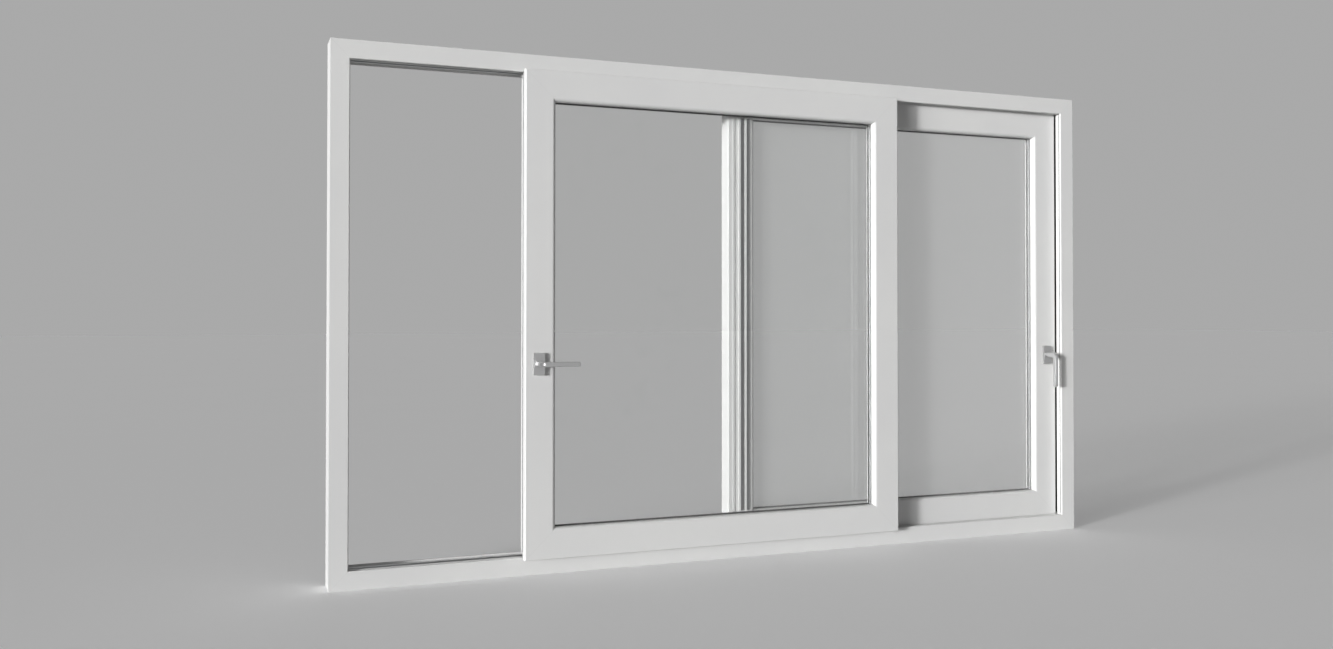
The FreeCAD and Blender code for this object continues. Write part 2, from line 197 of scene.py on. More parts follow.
# %% Dust on what faces up
def make_settled_dust():
    group, give, take = start_group(
        "settled_dust",
        {"Amount": ("Float", 0.3), "Grain": ("Float", 90.0)},
        {"Mask": "Float"})
    facing = add(group, "SeparateXYZ", Vector=add(group, "NewGeometry").outputs["Normal"])
    upward = fade(group, facing.outputs["Z"], 0.35, 0.95)
    place = add(group, "TexCoord").outputs["Object"]
    specks = add(group, "TexNoise", Vector=place, Detail=5.0, Roughness=0.65)
    group.links.new(give["Grain"], specks.inputs["Scale"])
    patchy = fade(group, specks.outputs["Fac"], 0.35, 0.7)
    mask = maths(group, "MULTIPLY", maths(group, "MULTIPLY", upward, patchy), give["Amount"])
    group.links.new(mask, take["Mask"])
    return group


settled_dust = make_settled_dust()
print("group:", settled_dust.name)


# %% Seams at the welded corners of a rectangle of profiles
def make_weld_seam():
    group, give, take = start_group(
        "weld_seam",
        {"Middle": ("Vector", (0.0, 0.0, 0.0)), "Half Width": ("Float", 1.0), "Half Height": ("Float", 1.0),
         "Line": ("Float", 0.6 * MM)},
        {"Mask": "Float"})
    place = add(group, "TexCoord").outputs["Object"]
    offset = add(group, "VectorMath", {"operation": "SUBTRACT"})
    group.links.new(place, offset.inputs[0])
    group.links.new(give["Middle"], offset.inputs[1])
    part = add(group, "SeparateXYZ", Vector=offset.outputs[0])
    from_side = maths(group, "SUBTRACT", give["Half Width"], maths(group, "ABSOLUTE", part.outputs["X"]))
    from_end = maths(group, "SUBTRACT", give["Half Height"], maths(group, "ABSOLUTE", part.outputs["Z"]))
    off_seam = maths(group, "ABSOLUTE", maths(group, "SUBTRACT", from_side, from_end))
    ratio = maths(group, "DIVIDE", off_seam, give["Line"])
    group.links.new(maths(group, "SUBTRACT", 1.0, fade(group, ratio, 0.3, 1.0)), take["Mask"])
    return group


weld_seam = make_weld_seam()
print("group:", weld_seam.name)


# %% Holes in a glass unit's spacer
def make_drying_holes():
    group, give, take = start_group(
        "drying_holes",
        {"Middle": ("Float", 0.0), "Pitch": ("Float", 4.0 * MM), "Radius": ("Float", 0.55 * MM),
         "Row": ("Float", 2.6 * MM)},
        {"Mask": "Float"})
    place = add(group, "SeparateXYZ", Vector=add(group, "TexCoord").outputs["Object"])
    facing = add(group, "SeparateXYZ", Vector=add(group, "NewGeometry").outputs["Normal"])
    level = maths(group, "GREATER_THAN", maths(group, "ABSOLUTE", facing.outputs["Z"]), 0.5)
    upright = maths(group, "GREATER_THAN", maths(group, "ABSOLUTE", facing.outputs["X"]), 0.5)
    run = maths(group, "ADD", maths(group, "MULTIPLY", place.outputs["X"], level),
                maths(group, "MULTIPLY", place.outputs["Z"], upright))
    along = maths(group, "PINGPONG", run, maths(group, "MULTIPLY", give["Pitch"], 0.5))
    aside = maths(group, "ABSOLUTE", maths(group, "SUBTRACT", place.outputs["Y"], give["Middle"]))
    off_row = maths(group, "SUBTRACT", aside, give["Row"])
    far = maths(group, "SQRT", maths(group, "ADD", maths(group, "MULTIPLY", along, along),
                                     maths(group, "MULTIPLY", off_row, off_row)))
    ratio = maths(group, "DIVIDE", far, give["Radius"])
    hole = maths(group, "SUBTRACT", 1.0, fade(group, ratio, 0.7, 1.1))
    group.links.new(maths(group, "MULTIPLY", hole, maths(group, "MAXIMUM", level, upright)), take["Mask"])
    return group


drying_holes = make_drying_holes()
print("group:", drying_holes.name)

# %% [markdown]
# ## Finishes
#
# Each finish starts from a Principled shader. What changes over the surface comes from the groups; what
# is the same all over is set on the shader itself.


# %% Helpers that start a finish and place a group in it
def start_finish(name):
    finish = bpy.data.materials.new(name)
    finish.use_nodes = True
    tree = finish.node_tree
    shader = tree.nodes["Principled BSDF"]
    return finish, tree, shader


def place_group(tree, group, **values):
    node = tree.nodes.new("ShaderNodeGroup")
    node.node_tree = group
    for label, value in values.items():
        node.inputs[label.replace("_", " ")].default_value = value
    return node.outputs


def vary(tree, factor, low, high):
    """Output between low and high as factor goes from 0 to 1."""
    return maths(tree, "MULTIPLY_ADD", factor, high - low, low)


def raise_surface(tree, shader, height, strength, distance):
    bump = add(tree, "Bump", Height=height, Strength=strength, Distance=distance)
    tree.links.new(bump.outputs["Normal"], shader.inputs["Normal"])


def show_finish(finish, *nodes):
    for node in nodes:
        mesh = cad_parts[node].data
        mesh.materials.clear()
        mesh.materials.append(finish)


print("finish helpers ready")

# %% [markdown]
# ### White plastic profiles
#
# The frame and sashes are welded from extruded white plastic. It is smooth with a soft sheen, and close
# up it has faint lines along each length, a hair seam at each corner and a little dust on what faces up.
# The lines run along X on rails and along Z on stiles, so each rectangle of profiles gets two finishes.

# %% White plastic
WHITE = (0.80, 0.80, 0.79, 1)
WHITE_COOL = (0.765, 0.765, 0.762, 1)
DUST = (0.46, 0.43, 0.39, 1)
SEAM = (0.62, 0.62, 0.61, 1)
ALONG_X = (3.0, 900.0, 900.0)
ALONG_Z = (900.0, 900.0, 3.0)


def white_profile(name, lines, middle, half_width, half_height):
    finish, tree, shader = start_finish(name)
    mottle = place_group(tree, soft_mottle, Broad=2.2, Fine=420.0)
    dust = place_group(tree, settled_dust, Amount=0.16, Grain=70.0)
    drawn = place_group(tree, drawn_lines, Stretch=lines)
    seam = place_group(tree, weld_seam, Middle=middle, Half_Width=half_width, Half_Height=half_height)
    colour = blend_colours(tree, fade(tree, mottle["Broad"], 0.3, 0.7), WHITE, WHITE_COOL)
    colour = blend_colours(tree, maths(tree, "MULTIPLY", seam["Mask"], 0.5), colour, SEAM)
    colour = blend_colours(tree, dust["Mask"], colour, DUST)
    tree.links.new(colour, shader.inputs["Base Color"])
    smooth = vary(tree, mottle["Broad"], 0.24, 0.36)
    roughness = maths(tree, "ADD", smooth, maths(tree, "MULTIPLY", dust["Mask"], 0.5))
    tree.links.new(roughness, shader.inputs["Roughness"])
    height = maths(tree, "ADD", drawn["Mask"], maths(tree, "MULTIPLY", mottle["Fine"], 0.6))
    height = maths(tree, "SUBTRACT", height, maths(tree, "MULTIPLY", seam["Mask"], 4.0))
    raise_surface(tree, shader, height, 0.12, 0.05 * MM)
    shader.inputs["IOR"].default_value = 1.5
    return finish


def rectangle_of(*nodes):
    """Middle, half width and half height of the upright rectangle that some nodes fill."""
    boxes = [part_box(node) for node in nodes]
    low = Vector([min(b[0][i] for b in boxes) for i in range(3)])
    high = Vector([max(b[1][i] for b in boxes) for i in range(3)])
    middle = (low + high) / 2
    return tuple(middle), (high.x - low.x) / 2, (high.z - low.z) / 2


profile_groups = {
    "frame": (("frame_head", "frame_sill"), ("frame_left_jamb", "frame_right_jamb")),
    "front_sash": (("front_sash_top_rail", "front_sash_bottom_rail"),
                   ("front_sash_left_stile", "front_sash_right_stile")),
    "rear_sash": (("rear_sash_top_rail", "rear_sash_bottom_rail"),
                  ("rear_sash_left_stile", "rear_sash_right_stile")),
}
bead_sides = {"across": ("top", "bottom"), "upright": ("left", "right")}
for part, (level, upright) in profile_groups.items():
    rectangle = rectangle_of(*level, *upright)
    across_finish = white_profile(f"{part}_white_across", ALONG_X, *rectangle)
    upright_finish = white_profile(f"{part}_white_upright", ALONG_Z, *rectangle)
    show_finish(across_finish, *level)
    show_finish(upright_finish, *upright)
    if part != "frame":
        show_finish(across_finish, *[f"{part}_{side}_bead" for side in bead_sides["across"]])
        show_finish(upright_finish, *[f"{part}_{side}_bead" for side in bead_sides["upright"]])
    if part == "rear_sash":
        show_finish(upright_finish, "rear_interlock_strip")
    middle, half_width, half_height = rectangle
    print(part, "middle", [round(v, 4) for v in middle], "half", round(half_width, 4), round(half_height, 4))

# %% [markdown]
# ### Rubber seals
#
# The glazing gaskets are dark grey rubber, dull and slightly chalky where dust lies. In the shade under
# the top bead they look black, and on the bottom bead, in the light, they hardly show. The closing buffer
# is the same rubber in black.


# %% Rubber
def seal_rubber(name, dark, pale):
    finish, tree, shader = start_finish(name)
    mottle = place_group(tree, soft_mottle, Broad=8.0, Fine=900.0)
    dust = place_group(tree, settled_dust, Amount=0.3, Grain=160.0)
    colour = blend_colours(tree, fade(tree, mottle["Broad"], 0.3, 0.75), dark, pale)
    colour = blend_colours(tree, dust["Mask"], colour, DUST)
    tree.links.new(colour, shader.inputs["Base Color"])
    tree.links.new(vary(tree, mottle["Fine"], 0.5, 0.72), shader.inputs["Roughness"])
    raise_surface(tree, shader, mottle["Fine"], 0.25, 0.1 * MM)
    return finish


grey_rubber = seal_rubber("grey_rubber", (0.10, 0.10, 0.10, 1), (0.15, 0.149, 0.147, 1))
# Black rubber for the closing buffer; its black is partly painted shade for the gap beside the closed rear
# sash.
black_rubber_gap_shade = seal_rubber("black_rubber_gap_shade", (0.016, 0.016, 0.017, 1), (0.035, 0.034, 0.033, 1))
show_finish(grey_rubber, "front_sash_glazing_gaskets", "rear_sash_glazing_gaskets")
print("finishes:", grey_rubber.name, black_rubber_gap_shade.name)

# %% [markdown]
# ### Glass
#
# Float glass is nearly colourless face on and a little green. Each unit has two panes with air between,
# and the solids have both, so the light bends and reflects as it does in the real unit. Faint smears keep
# the gloss alive. The rear sash is the one out in the weather, and in the picture its panes look paler. A
# film of fine dust does that: a small share of each surface is dull white in place of clear.
#
# A path tracer takes a pane for a wall when it looks for a lamp, and the sash behind it goes dark. Real
# panes let the light by, so rays that look for a lamp, or come from a dull surface, meet a clear shader
# in place of the glass.

# %% Clear and hazed glass
GLASS = (0.992, 0.994, 0.993, 1)
SMEARED = (0.982, 0.986, 0.984, 1)
LET_BY = (0.99, 0.992, 0.991, 1)
GLASS_IOR = 1.45
HAZED_SHARE = 0.955


def sheet_glass(name, clear_share):
    finish, tree, shader = start_finish(name)
    mottle = place_group(tree, soft_mottle, Broad=2.6, Fine=24.0)
    smear = fade(tree, maths(tree, "MULTIPLY", mottle["Broad"], mottle["Fine"]), 0.28, 0.42)
    colour = blend_colours(tree, smear, GLASS, SMEARED)
    tree.links.new(colour, shader.inputs["Base Color"])
    tree.links.new(vary(tree, smear, 0.0, 0.012), shader.inputs["Roughness"])
    shader.inputs["Transmission Weight"].default_value = clear_share
    shader.inputs["IOR"].default_value = GLASS_IOR
    clear = add(tree, "BsdfTransparent", Color=LET_BY)
    choice = add(tree, "MixShader")
    rays = add(tree, "LightPath").outputs
    lamp_bound = maths(tree, "MAXIMUM", rays["Is Shadow Ray"], rays["Is Diffuse Ray"])
    tree.links.new(lamp_bound, choice.inputs[0])
    tree.links.new(shader.outputs["BSDF"], choice.inputs[1])
    tree.links.new(clear.outputs["BSDF"], choice.inputs[2])
    tree.links.new(choice.outputs["Shader"], tree.nodes["Material Output"].inputs["Surface"])
    return finish


clear_glass = sheet_glass("clear_glass", 1.0)
hazed_glass = sheet_glass("hazed_glass", HAZED_SHARE)
show_finish(clear_glass, "front_sash_glass_panes")
show_finish(hazed_glass, "rear_sash_glass_panes")
print("finishes:", clear_glass.name, hazed_glass.name)

# %% [markdown]
# ### Metals
#
# The rails and glass spacers are plain aluminium with lines along their length. The carriages and lock
# strips are zinc plated, which shows a pale bluish crystal pattern. The handles are satin: a fine brushed
# grain that catches light along the edges. Each metal goes from a pale to a dark tone, and from a smooth
# to a rough sheen.

# %% Recipe for a metal
# Near-black painted shade for the dark inside of each spacer hole.
HOLE_SHADE = (0.03, 0.03, 0.03, 1)


def metal(name, tones, lines, sheens, crystals=0.0, holes_at=None):
    """Metal with lines along its length, or crystals of a given fineness, and spacer holes around a depth."""
    finish, tree, shader = start_finish(name)
    mottle = place_group(tree, soft_mottle, Broad=14.0, Fine=600.0)
    drawn = place_group(tree, drawn_lines, Stretch=lines)
    dust = place_group(tree, settled_dust, Amount=0.22, Grain=120.0)
    tone = drawn["Mask"]
    if crystals:
        place = add(tree, "TexCoord").outputs["Object"]
        flakes = add(tree, "TexVoronoi", Vector=place, Scale=crystals)
        tone = add(tree, "SeparateColor", Color=flakes.outputs["Color"]).outputs["Red"]
    colour = blend_colours(tree, tone, *tones)
    colour = blend_colours(tree, dust["Mask"], colour, DUST)
    if holes_at is not None:
        holes = place_group(tree, drying_holes, Middle=holes_at)
        # The holes are real; their near-black colour is painted shade for the dark inside of each hole.
        colour = blend_colours(tree, holes["Mask"], colour, HOLE_SHADE)
    tree.links.new(colour, shader.inputs["Base Color"])
    both = maths(tree, "ADD", drawn["Mask"], mottle["Broad"])
    sheen = vary(tree, maths(tree, "MULTIPLY", both, 0.5), *sheens)
    roughness = maths(tree, "ADD", sheen, maths(tree, "MULTIPLY", dust["Mask"], 0.4))
    tree.links.new(roughness, shader.inputs["Roughness"])
    solid = maths(tree, "SUBTRACT", 1.0, dust["Mask"])
    tree.links.new(solid, shader.inputs["Metallic"])
    raise_surface(tree, shader, drawn["Mask"], 0.15, 0.06 * MM)
    return finish


print("metal recipe ready")

# %% Drawn aluminium, zinc plate and satin metal
ALUMINIUM_PALE = (0.78, 0.785, 0.79, 1)
ALUMINIUM_TONES = (ALUMINIUM_PALE, (0.60, 0.605, 0.61, 1))
SPACER_TONES = (ALUMINIUM_PALE, (0.66, 0.665, 0.67, 1))
ZINC_TONES = ((0.40, 0.415, 0.43, 1), (0.27, 0.28, 0.295, 1))
SATIN_TONES = ((0.80, 0.80, 0.80, 1), (0.66, 0.66, 0.665, 1))
SATIN_SHEENS = (0.25, 0.36)
aluminium = metal("drawn_aluminium", ALUMINIUM_TONES, (4.0, 1600.0, 1600.0), (0.26, 0.44))
zinc = metal("zinc_plate", ZINC_TONES, (60.0, 60.0, 60.0), (0.28, 0.46), crystals=420.0)
satin_up = metal("satin_upright", SATIN_TONES, (2400.0, 2400.0, 30.0), SATIN_SHEENS)
satin_level = metal("satin_level", SATIN_TONES, (30.0, 2400.0, 2400.0), SATIN_SHEENS)
show_finish(aluminium, "front_running_rail", "rear_running_rail", "front_guide_rail", "rear_guide_rail")
for sash in ("front", "rear"):
    spacer_low, spacer_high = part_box(f"{sash}_sash_spacer")
    pierced = metal(f"{sash}_spacer_aluminium", SPACER_TONES, (40.0, 1600.0, 40.0), (0.30, 0.46),
                    holes_at=(spacer_low[1] + spacer_high[1]) / 2)
    show_finish(pierced, f"{sash}_sash_spacer")
    show_finish(zinc, f"{sash}_sash_roller_carriages", f"{sash}_lock_strip")
show_finish(satin_up, "front_handle_rosette", "rear_handle_rosette", "rear_handle_lever")
show_finish(satin_level, "front_handle_lever")
print("metals:", aluminium.name, zinc.name, satin_up.name, satin_level.name)

# %% [markdown]
# ### Grey nylon
#
# The top guides and travel stops are moulded nylon, with the dull pebbled skin that a mould leaves.


# %% Moulded nylon
def moulded_nylon():
    finish, tree, shader = start_finish("moulded_nylon")
    mottle = place_group(tree, soft_mottle, Broad=20.0, Fine=1400.0)
    colour = blend_colours(tree, mottle["Broad"], (0.16, 0.16, 0.165, 1), (0.24, 0.24, 0.24, 1))
    tree.links.new(colour, shader.inputs["Base Color"])
    tree.links.new(vary(tree, mottle["Fine"], 0.45, 0.62), shader.inputs["Roughness"])
    raise_surface(tree, shader, mottle["Fine"], 0.3, 0.12 * MM)
    return finish


nylon = moulded_nylon()
show_finish(nylon, "front_sash_top_guides", "rear_sash_top_guides", "front_travel_stop", "rear_travel_stop")
print("finish:", nylon.name)

# %% [markdown]
# ## Small fittings
#
# A real window has seals and fixings that are too fine for the solids. Each one is built point by point
# below: a section swept along a line, rows of tufts, or a head turned around its axis. Their own sizes are
# in millimetres, and the places where they sit are in metres. Every piece rides on the body that carries
# it, so that it goes along when a sash slides.


# %% Helpers that make a piece from points
def place_piece(name, points, faces, finish, body):
    """New piece from points and faces, with its finish, carried by a body."""
    mesh = bpy.data.meshes.new(name)
    mesh.from_pydata(points, [], faces)
    shape = bmesh.new()
    shape.from_mesh(mesh)
    bmesh.ops.recalc_face_normals(shape, faces=shape.faces)
    shape.to_mesh(mesh)
    shape.free()
    mesh.materials.append(finish)
    piece = bpy.data.objects.new(name, mesh)
    bpy.context.scene.collection.objects.link(piece)
    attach(piece, body)
    print(name, "on", body, "faces:", len(mesh.polygons))
    return piece


def join_loops(faces, first, second, count):
    """Quads between two closed loops of points that start at the given numbers."""
    for i in range(count):
        j = (i + 1) % count
        faces.append((first + i, first + j, second + j, second + i))


def sweep(points, faces, section, start, along, across, out, length):
    """Section, as (across, out) pairs in mm, swept straight along a line."""
    first, count = len(points), len(section)
    for end in (start, start + along * length):
        points.extend(end + across * (a * MM) + out * (o * MM) for a, o in section)
    join_loops(faces, first, first + count, count)
    faces.append(tuple(range(first, first + count)))
    faces.append(tuple(range(first + count, first + 2 * count)))


print("piece helpers ready")

# %% [markdown]
# ### Pile seals
#
# A sliding sash can't press on rubber all the way, so woven pile closes its gaps: a flat backing in a
# groove, rows of short tufts, and a thin fin in the middle that stops the draught. A noise texture on a
# bar would look right from afar, but the edge of a pile strip is what shows, so the tufts are real, each
# leaning its own way.


# %% Pile fibre
def pile_fibre(name, pale, dark):
    finish, tree, shader = start_finish(name)
    mottle = place_group(tree, soft_mottle, Broad=30.0, Fine=2200.0)
    dust = place_group(tree, settled_dust, Amount=0.35, Grain=300.0)
    colour = blend_colours(tree, mottle["Fine"], pale, dark)
    colour = blend_colours(tree, dust["Mask"], colour, DUST)
    tree.links.new(colour, shader.inputs["Base Color"])
    tree.links.new(vary(tree, mottle["Broad"], 0.78, 0.95), shader.inputs["Roughness"])
    shader.inputs["Sheen Weight"].default_value = 0.25
    return finish


grey_pile = pile_fibre("grey_pile", (0.34, 0.34, 0.345, 1), (0.22, 0.22, 0.225, 1))
rib_pile = pile_fibre("rib_pile", (0.24, 0.24, 0.243, 1), (0.17, 0.17, 0.173, 1))
black_pile = pile_fibre("black_pile", (0.03, 0.03, 0.03, 1), (0.012, 0.012, 0.013, 1))
print("finishes:", grey_pile.name, rib_pile.name, black_pile.name)

# %% Pile seal
TUFT_STEP = 2.6
TUFT_ROWS = 3
TUFT_WIDE, TUFT_LONG, TUFT_TAPER = 0.42, 0.46, 0.55
ROW_SPREAD = 0.92
SHORTEST_TUFT = 0.86
LEAN_ACROSS, LEAN_ALONG = 0.35, 0.5
BACKING = 0.8
BACKING_SHOULDER, BACKING_EDGE = 0.6, 0.4
FIN_FOOT, FIN_TIP, FIN_SHARE = 0.12, 0.08, 0.94


def pile_seal(name, finish, body, start, along, out, length, width, height):
    """Pile seal from start along a line, its pile standing out; width and height in mm, length in m."""
    chance = random.Random(len(name) + width)
    start, along, out = Vector(start), Vector(along), Vector(out)
    across = along.cross(out)
    points, faces = [], []
    half, shoulder, fin = width / 2, BACKING * BACKING_SHOULDER, height * FIN_SHARE
    backing = [(-half, 0), (half, 0), (half, shoulder), (half - BACKING_EDGE, BACKING),
               (-half + BACKING_EDGE, BACKING), (-half, shoulder)]
    middle_fin = [(-FIN_FOOT, BACKING), (FIN_FOOT, BACKING), (FIN_TIP, fin), (-FIN_TIP, fin)]
    for section in (backing, middle_fin):
        sweep(points, faces, section, start, along, across, out, length)
    thick = width / TUFT_ROWS * TUFT_WIDE
    for row in range(TUFT_ROWS):
        middle = (row - (TUFT_ROWS - 1) / 2) * width / TUFT_ROWS * ROW_SPREAD
        for step in range(int(length / (TUFT_STEP * MM))):
            foot = start + along * ((step + 0.5) * TUFT_STEP * MM)
            tall = height * chance.uniform(SHORTEST_TUFT, 1.0)
            lean_a = chance.uniform(-LEAN_ACROSS, LEAN_ACROSS)
            lean_l = chance.uniform(-LEAN_ALONG, LEAN_ALONG)
            first = len(points)
            for up, wide, share in ((BACKING, 1.0, 0.0), (tall, TUFT_TAPER, 1.0)):
                for a, l in ((-1, -1), (1, -1), (1, 1), (-1, 1)):
                    side = middle + a * thick * wide + lean_a * share
                    ahead = l * TUFT_STEP * TUFT_LONG * wide + lean_l * share
                    points.append(foot + across * (side * MM) + along * (ahead * MM) + out * (up * MM))
            join_loops(faces, first, first + 4, 4)
            faces.append((first + 4, first + 5, first + 6, first + 7))
    place_piece(name, points, faces, finish, body)


print("tuft step", TUFT_STEP, "mm")

# %% [markdown]
# The jambs have a grey pile in the groove of their reveal, a little proud, and the front sash closes
# against the left one. Behind the front lip, a black pile goes round the channel towards the rear sash
# and stops short of its face. The front sash has a low black pile on the back of its right stile, which
# passes close by the ribs of the rear sash. A dark grey pile fills the wide groove between those ribs.
# A low grey pile beside the last rib is painted shade: it stands for the rib's shadow on the stile.

# %% Ways and sizes of the pile seals
RIGHT, UP, DOWN = (1, 0, 0), (0, 0, 1), (0, 0, -1)
OUTSIDE, ROOM = (0, 1, 0), (0, -1, 0)
JAMB_PILE = (3.4, 4.7)
CHANNEL_PILE = (5.0, 4.2)
STILE_PILE = (5.0, 1.7)
RIB_PILE = (6.2, 6.4)
# Size of the low grey pile that is painted shade for the last rib's shadow.
SHADE_PILE = (12.6, 2.6)
LIP_GAP = 0.004
jamb_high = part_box("frame_left_jamb")[1]
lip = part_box("frame_sill")[1][2]
upright_start = lip + LIP_GAP
upright_run = jamb_high[2] - 2 * upright_start
print("lip", round(lip, 4), "upright run", round(upright_run, 4))

# %% Pile seals in the frame
LIP_BACK = -0.021
GROOVE_FLOOR = 1.202
GROOVE_MIDDLE = -0.037
CHANNEL_SIDE = 1.2015
LEVEL_HALF = 1.197
LIP_OVERLAP = 0.0035
for side, way in (("left", 1), ("right", -1)):
    in_groove = (-way * GROOVE_FLOOR, GROOVE_MIDDLE, upright_start)
    pile_seal(f"{side}_jamb_pile", grey_pile, "frame", in_groove, UP, (way, 0, 0), upright_run, *JAMB_PILE)
    behind_lip = (-way * CHANNEL_SIDE, LIP_BACK, upright_start)
    pile_seal(f"{side}_channel_pile", black_pile, "frame", behind_lip, UP, OUTSIDE,
              upright_run, *CHANNEL_PILE)
for side, height in (("head", jamb_high[2] - lip + LIP_OVERLAP), ("sill", lip - LIP_OVERLAP)):
    behind_lip = (-LEVEL_HALF, LIP_BACK, height)
    pile_seal(f"{side}_channel_pile", black_pile, "frame", behind_lip, RIGHT, OUTSIDE,
              2 * LEVEL_HALF, *CHANNEL_PILE)

# %% Pile seals where the sashes meet
STILE_INSETS = (0.046, 0.086)
STILE_PILE_FOOT, STILE_PILE_RUN = 0.14, 1.22
RIB_GROOVES = (-0.0148, -0.0084)
RIB_GROOVE_FLOOR = -0.0135
BESIDE_LAST_RIB = 0.0065
RIB_END = 0.002
stile_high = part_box("front_sash_right_stile")[1]
for number, inset in enumerate(STILE_INSETS, 1):
    on_back = (stile_high[0] - inset, stile_high[1], STILE_PILE_FOOT)
    pile_seal(f"front_stile_pile_{number}", black_pile, "front_sash", on_back, UP, OUTSIDE,
              STILE_PILE_RUN, *STILE_PILE)
ribs_low, ribs_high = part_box("rear_interlock_strip")
rib_top, rib_run = ribs_high[2] - RIB_END, ribs_high[2] - ribs_low[2] - 2 * RIB_END
for number, middle in enumerate(RIB_GROOVES, 1):
    in_groove = (middle, RIB_GROOVE_FLOOR, rib_top)
    pile_seal(f"interlock_pile_{number}", rib_pile, "rear_sash", in_groove, DOWN, ROOM, rib_run, *RIB_PILE)
# Painted shade: a low grey pile beside the last rib stands for that rib's shadow on the stile.
beside = (ribs_high[0] + BESIDE_LAST_RIB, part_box("rear_sash_left_stile")[0][1], rib_top)
pile_seal("interlock_pile_3", grey_pile, "rear_sash", beside, DOWN, ROOM, rib_run, *SHADE_PILE)

# %% [markdown]
# ### Closing buffer
#
# Where the rear sash closes, a black rubber buffer lies on the floor of the right jamb's channel. It is
# what makes the gap beside the closed sash look black, and that black is partly painted shade for the
# shaded gap. Its section is a flat foot with a bulb, swept up the jamb.

# %% Rubber buffer
CHANNEL_FLOOR = 1.208
BUFFER_MIDDLE = -0.006
BULB_HALF, BULB_FOOT, BULB_RISE = 5.2, 2.2, 9.2
FOOT_HALF, FOOT_THICK = 7.0, 1.6
SHARP_DEG = 40
turn = [math.radians(degrees) for degrees in range(0, 181, 15)]
bulb = [(BULB_HALF * math.cos(t), BULB_FOOT + BULB_RISE * math.sin(t)) for t in turn]
foot = [(-FOOT_HALF, FOOT_THICK), (-FOOT_HALF, 0.0), (FOOT_HALF, 0.0), (FOOT_HALF, FOOT_THICK)]
points, faces = [], []
up, inward = Vector(UP), Vector((-1, 0, 0))
lowest = Vector((CHANNEL_FLOOR, BUFFER_MIDDLE, upright_start))
sweep(points, faces, bulb + foot, lowest, up, up.cross(inward), inward, upright_run)
# Partly painted shade: the buffer's black darkens the shaded gap beside the closed rear sash.
buffer = place_piece("right_jamb_buffer_gap_shade", points, faces, black_rubber_gap_shade, "frame")
for face in buffer.data.polygons:
    face.use_smooth = len(face.vertices) == 4
buffer.data.set_sharp_from_angle(angle=math.radians(SHARP_DEG))

# %% [markdown]
# ### Lock strips
#
# Each lock strip is held by small cross-head screws, and has oval windows that the hooks come out of. The
# strip lies a millimetre below the stile's edge, so heads and rims have to stay lower than that.

# %% Screw head
HEAD_RADIUS = 2.7
HEAD_HEIGHT = 0.75
HEAD_RINGS = (0.25, 0.5, 0.75, 1.0, 1.25, 1.5, 1.75, 2.05, 2.4, HEAD_RADIUS)
DOME = 0.75
CROSS_ARM = 1.6
CROSS_HALF = 0.42
CROSS_DEPTH = 0.5
AROUND = 32


def screw_head(points, faces, middle, out, side):
    """Domed head with a cross recess, turned around out."""
    top = out.cross(side)
    first = len(points)
    for radius in HEAD_RINGS:
        for k in range(AROUND):
            angle = 2 * math.pi * k / AROUND
            a, b = radius * math.cos(angle), radius * math.sin(angle)
            height = HEAD_HEIGHT * (1 - DOME * (radius / HEAD_RADIUS) ** 2)
            in_cross = min(abs(a), abs(b)) < CROSS_HALF and max(abs(a), abs(b)) < CROSS_ARM
            height -= CROSS_DEPTH if in_cross else 0.0
            points.append(middle + side * (a * MM) + top * (b * MM) + out * (height * MM))
    for ring in range(len(HEAD_RINGS) - 1):
        join_loops(faces, first + ring * AROUND, first + (ring + 1) * AROUND, AROUND)
    faces.append(tuple(range(first, first + AROUND)))
    rim, skirt = first + (len(HEAD_RINGS) - 1) * AROUND, len(points)
    points.extend(points[rim + k] - out * (HEAD_HEIGHT * (1 - DOME) * MM) for k in range(AROUND))
    join_loops(faces, rim, skirt, AROUND)


print("screw head", HEAD_RADIUS * 2, "mm wide")

# %% Hook window
HOOK_LOOPS = ((14.0, 3.9, 0.0), (13.7, 3.6, 0.6), (12.6, 2.7, 0.6), (12.2, 2.3, 0.08))
ARC_STEPS = 8


def oval(half_length, radius):
    """Points of an upright oval, as (side, up) pairs in mm."""
    turn = [math.pi * k / ARC_STEPS for k in range(ARC_STEPS + 1)]
    ends = [(radius * math.cos(t), half_length - radius + radius * math.sin(t)) for t in turn]
    return ends + [(-a, -b) for a, b in ends]


def hook_window(points, faces, middle, out, side):
    """Raised oval rim around a sunk floor, from loops given by half length, radius and height."""
    top = out.cross(side)
    starts = []
    for half_length, radius, height in HOOK_LOOPS:
        loop = oval(half_length, radius)
        starts.append(len(points))
        points.extend(middle + side * (a * MM) + top * (b * MM) + out * (height * MM) for a, b in loop)
    count = len(loop)
    for first, second in zip(starts, starts[1:]):
        join_loops(faces, first, second, count)
    faces.append(tuple(range(starts[-1], starts[-1] + count)))


print("hook window", 2 * HOOK_LOOPS[0][0], "mm long")

# %% Fittings on both lock strips
SCREWS_AT = (0.02, 0.18, 0.34, 0.5, 0.66, 0.82, 0.98)
HOOKS_AT = (0.1, 0.42, 0.58, 0.9)
fittings = (("lock_screws", screw_head, SCREWS_AT), ("hook_windows", hook_window, HOOKS_AT))
for sash, way in (("front", -1), ("rear", 1)):
    strip_low, strip_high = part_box(f"{sash}_lock_strip")
    edge = strip_low[0] if way < 0 else strip_high[0]
    middle_y, tall = (strip_low[1] + strip_high[1]) / 2, strip_high[2] - strip_low[2]
    for label, build, shares in fittings:
        points, faces = [], []
        for share in shares:
            middle = Vector((edge, middle_y, strip_low[2] + share * tall))
            build(points, faces, middle, Vector((way, 0, 0)), Vector(OUTSIDE))
        place_piece(f"{sash}_{label}", points, faces, zinc, f"{sash}_sash")

